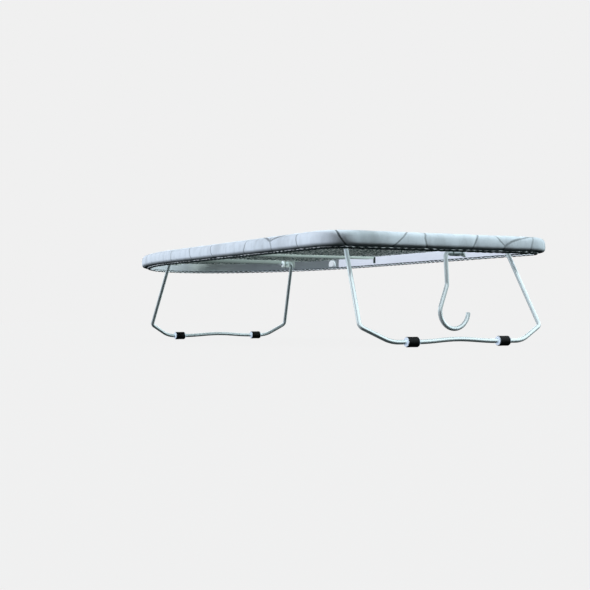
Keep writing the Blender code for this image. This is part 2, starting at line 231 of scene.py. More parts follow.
def mesh_from(name, points, faces, crease=180):
    mesh = bpy.data.meshes.new(name)
    mesh.from_pydata([tuple(p) for p in points], [], [tuple(f) for f in faces])
    mesh.validate()
    return smooth(mesh, crease)


def mesh_of(shape, name, crease=180):
    """A mesh from an edit mesh, which is freed."""
    mesh = bpy.data.meshes.new(name)
    shape.to_mesh(mesh)
    shape.free()
    return smooth(mesh, crease)


def grid_faces(rows, columns, wrap_rows=False):
    """Quads between closed rings of points. The outside is to the right of each ring's run."""
    row = np.arange(rows if wrap_rows else rows - 1)[:, None]
    column = np.arange(columns)[None, :]
    after_row = (row + 1) % rows
    after = (column + 1) % columns
    corners = [row * columns + column, row * columns + after, after_row * columns + after,
               after_row * columns + column]
    return np.stack(corners, axis=-1).reshape(-1, 4)


def arc(centre, radii, start, end, count):
    """Points along part of a circle or an ellipse."""
    turn = np.linspace(start, end, count)
    return np.stack([centre[0] + radii[0] * np.cos(turn), centre[1] + radii[1] * np.sin(turn)], axis=1)


def left_normals(points, along):
    """Unit normals to the left of a curve's run."""
    tangent = np.gradient(points, along, axis=0)
    tangent /= np.linalg.norm(tangent, axis=1)[:, None]
    return np.stack([-tangent[:, 1], tangent[:, 0]], axis=1)


def outline_table():
    """The board's edge from the nose tip round the left side, as arc length, place and inward normal."""
    radius = TAIL_CORNER_RADIUS
    nose = arc((HALF_LENGTH - NOSE_LENGTH, 0), (NOSE_LENGTH, HALF_WIDTH), 0, pi / 2, 2000)
    corner = arc((radius - HALF_LENGTH, HALF_WIDTH - radius), (radius, radius), pi / 2, pi, 400)
    side = np.linspace(nose[-1], corner[0], 600)[1:-1]
    tail = np.linspace(corner[-1], (-HALF_LENGTH, 0), 300)[1:]
    left = np.concatenate([nose, side, corner, tail])
    right = left[-2::-1] * (1, -1)
    points = np.concatenate([left, right])
    steps = np.linalg.norm(np.diff(points, axis=0), axis=1)
    along = np.concatenate([[0], np.cumsum(steps)])
    inward = left_normals(points, along)
    inward[0] = inward[-1] = (-1, 0)
    points[:, 0] += CENTRE_X
    return along, points, inward


EDGE_ALONG, EDGE_POINTS, EDGE_INWARD = outline_table()
PERIMETER = EDGE_ALONG[-1]


def edge_at(along):
    """Places on the board's edge and inward normals, at distances along it from the nose tip."""
    along = np.asarray(along) % PERIMETER
    place = np.stack([np.interp(along, EDGE_ALONG, EDGE_POINTS[:, i]) for i in (0, 1)], axis=-1)
    inward = np.stack([np.interp(along, EDGE_ALONG, EDGE_INWARD[:, i]) for i in (0, 1)], axis=-1)
    return place, inward


def ring_at(along, inset, z):
    """Points on a ring round the board."""
    place, inward = edge_at(along)
    flat = place + inward * np.broadcast_to(inset, along.shape)[:, None]
    return np.column_stack([flat, np.broadcast_to(z, along.shape)])


def ripple(along, waves, shift, drift=0.35):
    """An uneven ripple round the board: a whole number of waves, whose spacing and height wander."""
    turn = 2 * pi * along / PERIMETER
    wander = drift * waves / 9 * np.sin(5 * turn + shift)
    phase = waves * turn + shift + wander + np.sin(17 * turn + 2 * shift)
    return np.sin(phase) * (0.65 + 0.35 * np.sin(23 * turn + 3 * shift))


def smooth_section(points, count):
    """A smooth curve through section points, a cubic between each two, with evenly spaced samples."""
    points = np.array(points)
    knots = np.concatenate([[0], np.cumsum(np.linalg.norm(np.diff(points, axis=0), axis=1))])
    slopes = np.gradient(points, knots, axis=0)
    at = np.linspace(0, knots[-1], count)
    span = np.clip(np.searchsorted(knots, at, side="right") - 1, 0, len(knots) - 2)
    width = (knots[span + 1] - knots[span])[:, None]
    t = (at - knots[span])[:, None] / width
    a, b = points[span], points[span + 1]
    da, db = slopes[span] * width, slopes[span + 1] * width
    curve = (2 * t**3 - 3 * t**2 + 1) * a + (t**3 - 2 * t**2 + t) * da + (3 * t**2 - 2 * t**3) * b
    return curve + (t**3 - t**2) * db, at


def smoothstep(low, high, value):
    t = np.clip((value - low) / (high - low), 0, 1)
    return t * t * (3 - 2 * t)


def rounded_path(corners, radii):
    """The corners' path, with each inner corner replaced by an arc of its radius."""
    points = [corners[0]]
    for before, corner, after, radius in zip(corners, corners[1:], corners[2:], radii):
        back = (before - corner).normalized()
        ahead = (after - corner).normalized()
        half_angle = back.angle(ahead) / 2
        centre = corner + (back + ahead).normalized() * radius / sin(half_angle)
        start = corner + back * radius / tan(half_angle) - centre
        end = corner + ahead * radius / tan(half_angle) - centre
        turn = start.rotation_difference(end)
        for step in range(BEND_STEPS + 1):
            points.append(centre + Quaternion().slerp(turn, step / BEND_STEPS) @ start)
    points.append(corners[-1])
    return points


def sweep(name, points, radius, sides, chamfer=0.0, closed=False):
    """A round bar along a path."""
    points = [Vector(p) for p in points]
    count = len(points)
    radii = [radius] * count
    if chamfer:
        start = points[0] + (points[1] - points[0]).normalized() * chamfer
        end = points[-1] + (points[-2] - points[-1]).normalized() * chamfer
        points = [points[0], start] + points[1:-1] + [end, points[-1]]
        radii = [radius - chamfer] + [radius] * count + [radius - chamfer]
        count += 2
    verts, side = [], None
    for index, point in enumerate(points):
        before = points[index - 1] if index or closed else point
        after = points[(index + 1) % count] if index + 1 < count or closed else point
        ahead = (after - before).normalized()
        if side is None:
            side = ahead.orthogonal().normalized()
        side = (side - ahead * side.dot(ahead)).normalized()
        other = ahead.cross(side)
        for step in range(sides):
            angle = 2 * pi * step / sides
            verts.append(point + radii[index] * (cos(angle) * side + sin(angle) * other))
    faces = [*grid_faces(count, sides, wrap_rows=closed)]
    if not closed:
        faces += [range(sides - 1, -1, -1), range((count - 1) * sides, count * sides)]
    return mesh_from(name, verts, faces, crease=40)


def add_turned(name, profile, place, material, body, replaces=(), sides=40):
    """A piece made of a closed profile of (radius, along) points, turned about the Y direction at place."""
    verts = []
    for step in range(sides):
        angle = 2 * pi * step / sides
        for radius, along in profile:
            verts.append((place[0] + radius * sin(angle), place[1] + along, place[2] + radius * cos(angle)))
    mesh = mesh_from(name, verts, grid_faces(sides, len(profile), wrap_rows=True), crease=40)
    return add_piece(name, mesh, material, body, replaces)


def refined(node):
    """A CAD node's shape with its flat faces whole and its edges rounded."""
    shape = bmesh.new()
    shape.from_mesh(frame["nodes"][node].data)
    bmesh.ops.remove_doubles(shape, verts=shape.verts, dist=1e-6)
    bmesh.ops.dissolve_limit(shape, angle_limit=radians(1), verts=shape.verts, edges=shape.edges)
    sharp = [e for e in shape.edges if len(e.link_faces) == 2 and e.calc_face_angle() > radians(30)]
    bmesh.ops.bevel(shape, geom=sharp, offset=FORMED_EDGE, segments=2, profile=0.5, affect="EDGES",
                    clamp_overlap=True)
    return mesh_of(shape, node + "_shape", crease=35)


# --- materials ---

class Graph:
    """Short ways to add and join the nodes of a tree."""

    def __init__(self, tree):
        self.tree = tree

    def put(self, socket, value):
        """Link a socket to another, or set its number or colour."""
        if isinstance(value, bpy.types.NodeSocket):
            self.tree.links.new(value, socket)
        elif socket.type == "RGBA":
            socket.default_value = (*value, 1)
        else:
            socket.default_value = value

    def node(self, kind, inputs=None, **settings):
        """Add a node, link or set its inputs, and give its outputs."""
        made = self.tree.nodes.new(kind)
        for name, value in settings.items():
            setattr(made, name, value)
        for name, value in (inputs or {}).items():
            self.put(made.inputs[name], value)
        return made.outputs

    def math(self, operation, a, b=0.0, clamp=False):
        return self.node("ShaderNodeMath", {0: a, 1: b}, operation=operation, use_clamp=clamp)[0]

    def times(self, a, b, clamp=False):
        return self.math("MULTIPLY", a, b, clamp)

    def mix(self, factor, a, b):
        """One colour turning to another."""
        return self.node("ShaderNodeMix", {"Factor": factor, 6: a, 7: b}, data_type="RGBA")[2]

    def band(self, value, low, high, to_low=0.0, to_high=1.0):
        """A smooth step between two numbers, as the value goes from low to high."""
        ends = {"Value": value, "From Min": low, "From Max": high, "To Min": to_low, "To Max": to_high}
        return self.node("ShaderNodeMapRange", ends, interpolation_type="SMOOTHSTEP")["Result"]

    def fall(self, value, low, high):
        """A smooth step down from 1 to 0."""
        return self.band(value, low, high, 1.0, 0.0)

    def split(self, vector):
        """A vector's numbers, named X, Y and Z."""
        return self.node("ShaderNodeSeparateXYZ", {0: vector})

    def stretched(self, vector, scale):
        return self.node("ShaderNodeMapping", {"Vector": vector, "Scale": scale})["Vector"]

    def place(self, stretch=(1, 1, 1)):
        """Coordinates in metres, in the row frame."""
        return self.stretched(self.node("ShaderNodeTexCoord")["Object"], stretch)

    def noise(self, scale, detail=3.0, where=None, roughness=0.5, output="Fac"):
        inputs = {"Vector": where or self.place(), "Scale": scale, "Detail": detail, "Roughness": roughness}
        return self.node("ShaderNodeTexNoise", inputs)[output]

    def bump(self, height, depth, strength):
        inputs = {"Height": height, "Distance": depth, "Strength": strength}
        return self.node("ShaderNodeBump", inputs)["Normal"]


class Surface(Graph):
    """The nodes of a material, around its shader."""

    def __init__(self, material):
        material.use_nodes = True
        super().__init__(material.node_tree)
        self.material = material
        self.shader = self.tree.nodes["Principled BSDF"]

    def finish(self, colour, roughness, normal, **numbers):
        self.put(self.shader.inputs["Base Color"], colour)
        self.put(self.shader.inputs["Roughness"], roughness)
        self.put(self.shader.inputs["Normal"], normal)
        for name, value in numbers.items():
            self.shader.inputs[name.replace("_", " ")].default_value = value
        return self.material


def new_surface(name):
    return Surface(bpy.data.materials.new(name))


def darker(colour, share):
    return tuple(share * c for c in colour)


def paint(name, colour, worn, roughness=0.30, metallic=0.0):
    """Sprayed paint on steel: slight orange peel, faint mottling and small scuffs."""
    g = new_surface(name)
    mottle = g.noise(60, 4)
    peel = g.noise(900, 2)
    scuff = g.band(g.noise(260, 5, roughness=0.7), 0.66, 0.76)
    base = g.mix(g.times(mottle, 0.5), colour, darker(colour, 0.92))
    base = g.mix(g.times(scuff, 0.5), base, worn)
    rough = g.math("ADD", roughness, g.times(g.math("SUBTRACT", mottle, 0.5), 0.12))
    return g.finish(base, rough, g.bump(peel, 0.00001, 0.4), Metallic=metallic, Coat_Weight=0.25,
                    Coat_Roughness=0.12)


def repainted(name, colour, roughness, choose):
    """Paint with a second colour over part of it. Choose gives where, from the place, and that colour."""
    g = Surface(paint(name, colour, darker(colour, 0.7), roughness))
    painted = g.shader.inputs["Base Color"].links[0].from_socket
    where, other = choose(g, g.split(g.place()))
    g.put(g.shader.inputs["Base Color"], g.mix(where, painted, other))
    return g.material


def painted_light_patch(g, at):
    """A patch of painted light: paler, to the right of the nose tip."""
    across = g.times(g.band(at["Y"], -0.105, -0.028), g.fall(at["Y"], -0.018, 0.004))
    return g.times(across, g.band(at["X"], 0.230, 0.310)), STRIP_PAINTED_LIGHT


def shaded_lips_and_dark_ends(g, at):
    """Painted shade along the middle rail's lower lips, and the same dark colour on the tongues at its ends.
    """
    low_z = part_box("middle_rail")[0].z
    # Painted shade: dark along the lower lip.
    lip = g.fall(at["Z"], low_z + 0.0006, low_z + 0.0011)
    end = g.band(g.math("ABSOLUTE", at["Y"]), RAIL_TONGUE_Y - 0.001, RAIL_TONGUE_Y + 0.001)
    return g.math("MAXIMUM", lip, end), RAIL_SHADE_AND_DARK_ENDS


def speckled_steel(name, light, dark):
    """Expanded steel: pale specks of painted highlight over a dark that is partly painted shade."""
    g = new_surface(name)
    # Painted highlights: scattered pale specks over the dark, which is partly painted shade.
    speckle = g.band(g.noise(230, 2), 0.46, 0.57)
    fine = g.noise(700, 3)
    rough = g.math("ADD", 0.34, g.times(fine, 0.15))
    return g.finish(g.mix(speckle, dark, light), rough, g.bump(fine, 0.00002, 0.4))


def rubber(name, dark, dusty):
    g = new_surface(name)
    grain = g.noise(2200, 2)
    dust = g.band(g.noise(320, 4), 0.55, 0.8)
    rough = g.math("ADD", 0.48, g.times(grain, 0.12))
    return g.finish(g.mix(g.times(dust, 0.3), dark, dusty), rough, g.bump(grain, 0.00004, 0.6),
                    Specular_IOR_Level=0.18)


def felt(name, dark, light, clump):
    g = new_surface(name)
    fibres = g.noise(1400, 6, roughness=0.75)
    base = g.mix(g.band(g.noise(160, 4), 0.5, 0.75), g.mix(fibres, dark, light), clump)
    return g.finish(base, 0.95, g.bump(fibres, 0.0003, 0.7))


def grained(name, dark, light, grain, roughness, depth, strength):
    """A cloudy or stranded material, such as nylon or twisted thread."""
    g = new_surface(name)
    strands = g.noise(grain, 3)
    return g.finish(g.mix(strands, dark, light), roughness, g.bump(strands, depth, strength))


def woven(g, cloth):
    """How far the threads of a plain weave stand up, and the slubs in them."""
    at = g.split(cloth)
    warp = g.math("SINE", g.times(at["X"], pi / THREAD_PITCH))
    weft = g.math("SINE", g.times(at["Y"], pi / THREAD_PITCH))
    over = g.band(g.times(warp, weft), -0.35, 0.35)
    warp_height = g.times(g.math("ABSOLUTE", warp), over)
    weft_height = g.times(g.math("ABSOLUTE", weft), g.math("SUBTRACT", 1.0, over))
    return g.math("ADD", warp_height, weft_height), g.noise(1, 3, g.stretched(cloth, (220, 2600, 1)))


def loose_net(g, cloth):
    """The lines of a wide, bent net."""
    swirl = g.noise(28, 2.0, cloth, output="Color")
    small = g.node("ShaderNodeVectorMath", {0: swirl, "Scale": 0.022}, operation="SCALE")[0]
    bent = g.node("ShaderNodeVectorMath", {0: cloth, 1: small}, operation="ADD")[0]
    net = g.node("ShaderNodeTexVoronoi", {"Vector": bent, "Scale": 12.5}, feature="DISTANCE_TO_EDGE",
                 voronoi_dimensions="2D")
    return g.fall(net["Distance"], 0.004, 0.019)


def printed_lines(g, cloth):
    """How dark the print is: the veins and branches on the side, and the net on the top."""
    on = g.split(g.node("ShaderNodeAttribute", attribute_name="vein_on")["Vector"])
    wander = g.times(g.math("SUBTRACT", g.noise(420, 3, cloth), 0.5), 0.0012)
    lines = g.times(loose_net(g, cloth), on["Z"])
    for index, strength in ((0, "X"), (1, "Y")):
        away = g.node("ShaderNodeAttribute", attribute_name=f"vein_{index}")["Fac"]
        away = g.math("ABSOLUTE", g.math("ADD", away, wander))
        lines = g.math("MAXIMUM", lines, g.times(g.fall(away, 0.0003, 0.0021), on[strength]))
    return g.times(lines, g.band(g.noise(70, 3, cloth), 0.25, 0.65, 0.55, 1.0))


def cover_fabric(name):
    """Plain woven cotton with a sparse print of thin dark veins, and painted shade: greyer by the tail's two
    corners and darker along the fold.
    """
    g = new_surface(name)
    cloth = g.node("ShaderNodeUVMap", uv_map="cloth")["UV"]
    at = g.split(cloth)
    weave, slub = woven(g, cloth)
    streaks = g.noise(1, 4, g.place((120, 120, 60)), 0.6)
    patches = g.noise(34, 3)
    base = g.mix(g.noise(55, 4, cloth), CLOTH_SHADE, CLOTH_LIGHT)
    base = g.mix(g.band(streaks, 0.42, 0.78, 0.0, 0.42), base, CLOTH_GREY)
    base = g.mix(g.band(patches, 0.46, 0.76, 0.0, 0.46), base, CLOTH_GREY)
    base = g.mix(g.times(g.band(slub, 0.45, 0.8), 0.25), base, SLUB_GREY)
    base = g.mix(g.times(weave, 0.08), base, THREAD_WHITE)
    base = g.mix(g.times(printed_lines(g, cloth), 0.72, clamp=True), base, PRINT_INK)
    # Painted shade by the tail's two corners: mottled by the left one, even and weaker by the right one.
    tail = g.fall(at["X"], -0.345, -0.310)
    left = g.times(g.times(g.band(at["Y"], 0.060, 0.100), g.fall(at["Y"], 0.122, 0.142)), tail)
    left = g.times(left, g.band(patches, 0.30, 0.65, 0.22, 0.46))
    right = g.times(g.band(at["Y"], -0.140, -0.112, 0.26, 0.0), tail)
    base = g.mix(g.math("MAXIMUM", left, right), base, CORNER_PAINTED_SHADE)
    # Painted shade: darker towards the fold under the rim.
    base = g.mix(g.band(g.split(g.place())["Z"], *FOLD_SHADE_Z, 0.86, 0.0), base, FOLD_SHADE)
    height = g.math("ADD", g.times(weave, 0.6), g.times(slub, 0.4))
    return g.finish(base, 0.90, g.bump(height, 0.00012, 0.55), Sheen_Weight=0.04, Sheen_Roughness=0.5,
                    Specular_IOR_Level=0.12)


# --- cover, pad and hem ---

# Veins printed across the side of the cover, as (strength, knots). A knot is a distance along the edge and a
# height up the side, which is 0 at the fold and 1 at the top edge.
VISIBLE_VEINS = [
    (0.35, [(0.292, 0.2), (0.29, 0.5), (0.289, 0.8)]),
    (0.85, [(0.3755, 0.2), (0.3762, 0.5), (0.375, 0.75), (0.376, 1.0)]),
    (0.85, [(0.4445, 0.2), (0.4414, 0.38), (0.4385, 0.55), (0.432, 0.8), (0.429, 1.0)]),
    (0.9, [(0.514, 0.2), (0.5068, 0.41), (0.5036, 0.6), (0.5035, 0.71), (0.506, 0.95)]),
    (0.95, [(0.5992, 0.2), (0.5997, 0.38), (0.6025, 0.51), (0.6045, 0.7), (0.61, 0.95)]),
    (0.95, [(0.6699, 0.2), (0.6706, 0.41), (0.6675, 0.61), (0.6665, 0.8)]),
    (0.9, [(0.7331, 0.2), (0.7331, 0.34), (0.7306, 0.51), (0.7291, 0.67), (0.729, 1.0)]),
    (1.6, [(0.8115, 0.15), (0.8074, 0.29), (0.8042, 0.41), (0.8007, 0.55), (0.797, 0.77), (0.7935, 1.0)]),
    (1.15, [(0.864, 0.2), (0.8686, 0.31), (0.8746, 0.45), (0.881, 0.6), (0.8937, 1.0)]),
    (0.9, [(0.913, 0.2), (0.912, 0.3), (0.9108, 0.41), (0.9093, 0.57), (0.9145, 1.0)]),
    (0.95, [(0.9735, 0.2), (0.9745, 0.26), (0.9762, 0.38), (0.9797, 0.56), (0.9859, 0.84), (0.988, 1.0)]),
    (0.95, [(1.0185, 0.2), (1.021, 0.41), (1.0181, 0.47), (1.0136, 0.58), (1.0104, 0.76), (1.008, 1.0)]),
    (0.6, [(1.0585, 0.2), (1.059, 0.34), (1.0602, 0.49), (1.0632, 0.68), (1.065, 1.0)]),
    # This vein, by the tail's right corner, is drawn extra strong: partly print, partly painted shade along
    # that corner's outline.
    (1.6, [(1.0915, 0.2), (1.0912, 0.39), (1.0905, 0.57), (1.089, 0.74), (1.087, 1.0)]),
]
# Branches, which run along the side, as knots in the same measures.
VISIBLE_BRANCHES = [
    [(0.632, 0.97), (0.6349, 0.94), (0.648, 0.8), (0.6622, 0.66), (0.669, 0.58)],
    [(0.669, 0.6), (0.6731, 0.64), (0.6823, 0.69), (0.7, 0.8)],
    [(1.0205, 0.41), (1.0255, 0.49), (1.031, 0.57), (1.0414, 0.65), (1.052, 0.73), (1.0676, 0.86),
     (1.076, 0.95)],
]
FIRST_HIDDEN = 1.150
LAST_HIDDEN = 0.215


def all_veins():
    """Every vein and branch: those above, and unevenly scattered ones round the far side and the nose."""
    chance = np.random.default_rng(11)
    lines, branches = list(VISIBLE_VEINS), list(VISIBLE_BRANCHES)
    middle = FIRST_HIDDEN
    while middle < PERIMETER + LAST_HIDDEN:
        lean, bend = chance.uniform(-0.010, 0.010), chance.uniform(-0.004, 0.004)
        at = np.array([middle - lean, middle + bend, middle + lean]) % PERIMETER
        lines.append((chance.uniform(0.6, 1.0), list(zip(at, (0.2, 0.5, 1.0)))))
        step = chance.uniform(0.045, 0.085)
        if chance.random() < 0.3 and middle + step < PERIMETER:
            branches.append([(middle, 0.5), (middle + 0.3 * step, 0.7), (middle + 0.7 * step, 0.95)])
        middle += step
    if len(lines) % 2:
        lines.pop()
    return lines, branches


VEINS, BRANCHES = all_veins()


def vein_distance(along, height):
    """A smooth signed distance to the nearest vein, and its strength, at one height up the side."""
    at = []
    for _, knots in VEINS:
        places, heights = np.array(knots).T
        near = places[0] + (places - places[0] + PERIMETER / 2) % PERIMETER - PERIMETER / 2
        at.append(np.interp(height, heights, near))
    at = np.array(at) % PERIMETER
    strength = np.array([vein[0] for vein in VEINS])
    order = np.argsort(at)
    at, strength = at[order], strength[order]
    wrapped = np.concatenate([at - PERIMETER, at, at + PERIMETER])
    number = np.arange(len(wrapped))
    phase = np.interp(along, wrapped, number)
    cell = np.clip(np.floor(phase).astype(int), 0, len(wrapped) - 2)
    gap = wrapped[cell + 1] - wrapped[cell]
    return gap / pi * np.sin(pi * phase), np.interp(phase, number, np.tile(strength, 3))


def branch_distance(along, height, side_height):
    """Signed distance to the branches, and 1 where there is one."""
    distance = np.full(along.shape, 0.05)
    on = np.zeros(along.shape)
    for branch in BRANCHES:
        places, heights = np.array(branch).T
        inside = (along >= places[0]) & (along <= places[-1])
        line = np.interp(along, places, heights)
        slope = np.gradient(line, along) * side_height
        away = (height - line) * side_height / np.hypot(1, slope)
        distance = np.where(inside, away, distance)
        on = np.where(inside, 1.0, on)
    return distance, on


def hem_centre(along):
    """Inset and height of the rolled hem's middle, which ripples where the cord gathers it."""
    inset = HEM_INSET + 0.00035 * ripple(along, GATHERS, 0.4)
    z = HEM_Z + 0.00025 * ripple(along, 171, 2.1)
    return inset, z


def side_rings(along, section, run, side_height):
    """The cover's side, as (ring, place on the flat cloth, height): gathered at the hem, faintly creased."""
    outward = left_normals(section, run)
    gather = ripple(along, GATHERS, 0.4)
    crease = ripple(along, CREASES, 1.3)
    swell = ripple(along, SWELLS, 0.9)
    place, inward = edge_at(along)
    rings = []
    for (inset, z), (out, up), length in zip(section, outward, run):
        height = length / side_height
        near, strength = vein_distance(along, height)
        low = 1 - smoothstep(0.05, 0.40, height)
        high = 1 - smoothstep(0.9, 1.5, height)
        push = 0.00028 * gather * low + 0.00006 * crease * high * (0.4 + 0.6 * low) + 0.00016 * swell * high
        push -= 0.00035 * high * np.minimum(strength, 1) * np.exp(-(near / 0.0045) ** 2)
        flat_inset = FLAT_INSET - (run[-1] - length)
        rings.append((ring_at(along, inset + push * out, z + push * up), place + inward * flat_inset, height))
    return rings


def top_rings(along):
    """The cover's top, as (ring, place on the flat cloth, height), closing in on the board's middle line."""
    edge = ring_at(along, FLAT_INSET, TOP_Z)[:, :2]
    spine_x = np.clip(edge[:, 0], CENTRE_X - HALF_LENGTH + SPINE_TAIL_GAP, CENTRE_X + SPINE_NOSE_X)
    spine = np.column_stack([spine_x, np.zeros(len(along))])
    rings = []
    for row in range(1, TOP_ROWS + 1):
        share = (row / TOP_ROWS) ** 0.85
        flat = edge * (1 - share) + spine * share
        wave = np.sin(31 * flat[:, 0] + 3 * np.sin(23 * flat[:, 1])) * np.sin(27 * flat[:, 1] + 1.1)
        rings.append((np.column_stack([flat, TOP_Z + 0.00025 * wave * min(1, 4 * share)]), flat, 2.0))
    return rings


def add_print(mesh, along, rings, side_height):
    """Store the flat cloth as a UV map, the distances to a vein and a branch, and each print's strength."""
    layer = mesh.uv_layers.new(name="cloth")
    corner = np.zeros(len(mesh.loops), np.int32)
    mesh.loops.foreach_get("vertex_index", corner)
    cloth = np.concatenate([flat for _, flat, _ in rings])
    layer.data.foreach_set("uv", cloth[corner].astype(np.float32).ravel())
    veins, branches, strengths = [], [], []
    for _, _, height in rings:
        vein, strength = vein_distance(along, height)
        branch, has_branch = branch_distance(along, height, side_height)
        fade = 1 - smoothstep(1.1, 1.9, height)
        net = np.full(along.shape, smoothstep(0.95, 1.7, height))
        veins.append(vein)
        branches.append(branch)
        strengths.append(np.stack([strength * fade, has_branch * fade, net], axis=1))
    for name, kind, values in (("vein_0", "FLOAT", veins), ("vein_1", "FLOAT", branches),
                               ("vein_on", "FLOAT_VECTOR", strengths)):
        numbers = np.concatenate(values).astype(np.float32).ravel()
        field = "value" if kind == "FLOAT" else "vector"
        mesh.attributes.new(name, kind, "POINT").data.foreach_set(field, numbers)


def join_last_ring(mesh, ring_count):
    """Close the top: weld the innermost ring's points where they lie on each other."""
    shape = bmesh.new()
    shape.from_mesh(mesh)
    inner = [v for v in shape.verts if v.index >= (ring_count - 1) * COVER_COLUMNS]
    bmesh.ops.remove_doubles(shape, verts=inner, dist=0.0008)
    shape.to_mesh(mesh)
    shape.free()
    mesh.shade_smooth()


def make_cover(material):
    along = np.linspace(0, PERIMETER, COVER_COLUMNS, endpoint=False)
    section, run = smooth_section(FOLD_SECTION, SIDE_ROWS)
    upper = slice(SIDE_ROWS // 2, None)
    side_height = np.interp(SIDE_EDGE_INSET, section[upper, 0], run[upper])
    rings = side_rings(along, section, run, side_height) + top_rings(along)
    points = np.concatenate([ring for ring, _, _ in rings])
    mesh = mesh_from("cover_cloth", points, grid_faces(len(rings), COVER_COLUMNS))
    add_print(mesh, along, rings, side_height)
    join_last_ring(mesh, len(rings))
    cover = add_piece("ironing_cover", mesh, material, "board", ["cover"])
    thick = cover.modifiers.new("thickness", "SOLIDIFY")
    thick.thickness = FABRIC_THICKNESS
    return cover


def make_pad(material):
    """The felt pad: flat on the deck, with a soft rounded edge and a faintly uneven top."""
    low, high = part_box("foam_pad")
    along = np.linspace(0, PERIMETER, PAD_COLUMNS, endpoint=False)
    section = [(0.0300, low.z), (0.0110, low.z), (0.0050, low.z), (0.0040, low.z + 0.0004),
               (0.0046, low.z + 0.0010), (0.0065, low.z + 0.0017), (0.0100, low.z + 0.0023),
               (0.0180, low.z + 0.0029), (0.0300, high.z)]
    rings = [ring_at(along, inset, z + 0.00008 * ripple(along, 83, 0.2) * (0.0035 < inset < 0.0120))
             for inset, z in section]
    verts = np.concatenate(rings)
    faces = [*grid_faces(len(rings), PAD_COLUMNS), range(PAD_COLUMNS - 1, -1, -1),
             range(len(verts) - PAD_COLUMNS, len(verts))]
    mesh = mesh_from("felt_pad", verts, faces)
    return add_piece("felt_pad", mesh, material, "board", ["foam_pad"])


def make_binding(material):
    """The binding that the cover's edge is rolled in, near-black as painted shade. The cord inside gathers it
    into small ribs.
    """
    along = np.linspace(0, PERIMETER, BINDING_COLUMNS, endpoint=False)
    inset, z = hem_centre(along)
    rib = 0.00022 * ripple(along, 523, 0.7, 0.2) + 0.00012 * ripple(along, 301, 1.9)
    rings = []
    for step in range(HEM_SIDES):
        angle = 2 * pi * step / HEM_SIDES
        reach = HEM_RADIUS + rib * (0.6 + 0.4 * cos(2 * angle)) + BINDING_NECK * max(0, -sin(angle)) ** 6
        rings.append(ring_at(along, inset + reach * cos(angle), z - reach * sin(angle)))
    mesh = mesh_from("hem_binding", np.concatenate(rings), grid_faces(HEM_SIDES, len(along), wrap_rows=True))
    return add_piece("hem_binding", mesh, material, "board", ["hem_cord"])


def make_overlock(material):
    """White thread stitched along the binding, on its outer and its inner face."""
    turns = STITCH_BEAT * round(PERIMETER / STITCH_PITCH / STITCH_BEAT)
    along = np.linspace(0, PERIMETER, turns * STITCH_STEPS, endpoint=False)
    inset, z = hem_centre(along)
    stitch = 2 * pi * turns * along / PERIMETER
    shape = bmesh.new()
    for face, swing, radius in ((pi - 0.55, 0.10, OUTER_THREAD_RADIUS), (-0.10, 0.24, INNER_THREAD_RADIUS)):
        angle = face + swing * np.sin(stitch)
        reach = HEM_RADIUS + radius * (0.85 + 0.9 * np.cos(stitch + 0.4 + 0.9 * np.sin(stitch / STITCH_BEAT)))
        path = ring_at(along, inset + reach * np.cos(angle), z + reach * np.sin(angle))
        shape.from_mesh(sweep("stitches", path, radius, THREAD_SIDES, closed=True))
    return add_piece("hem_overlock", mesh_of(shape, "hem_overlock"), material, "board")


# --- deck, rim, rails ---

def room_inside(points):
    """How far points lie inside the deck's outline, measured across the board."""
    along = np.linspace(0, PERIMETER / 2, 3000)
    ring = ring_at(along, DECK_INSET, 0.0)
    half_width = np.interp(points[:, 0], ring[::-1, 0], ring[::-1, 1], left=-1.0, right=-1.0)
    return half_width - np.abs(points[:, 1])


def diamond_strands():
    """The ends of every strand of a net of diamonds that covers the board's box."""
    starts, ends = [], []
    for row in range(-1, int(2 * HALF_LENGTH / DIAMOND_WIDTH) + 2):
        for column in range(-1, int(2 * HALF_WIDTH / DIAMOND_LENGTH) + 2):
            for part in (0, 1):
                x = CENTRE_X - HALF_LENGTH + (row + part / 2) * DIAMOND_WIDTH
                y = -HALF_WIDTH + (column + part / 2) * DIAMOND_LENGTH
                for side in (-1, 1):
                    starts.append((x, y))
                    ends.append((x + side * DIAMOND_WIDTH / 2, y + DIAMOND_LENGTH / 2))
    return np.array(starts), np.array(ends)


def cut_to_outline(starts, ends):
    """Shorten the strands that cross the deck's outline, and drop those outside it."""
    keep = (room_inside(starts) > 0) | (room_inside(ends) > 0)
    starts, ends = starts[keep], ends[keep]
    for far, near in ((ends, starts), (starts, ends)):
        out = room_inside(far) < 0
        inside, outside = near[out].copy(), far[out].copy()
        for _ in range(14):
            half = (inside + outside) / 2
            good = (room_inside(half) > 0)[:, None]
            inside = np.where(good, half, inside)
            outside = np.where(good, outside, half)
        far[out] = inside
    keep = np.linalg.norm(ends - starts, axis=1) > SHORTEST_STRAND
    return starts[keep], ends[keep]


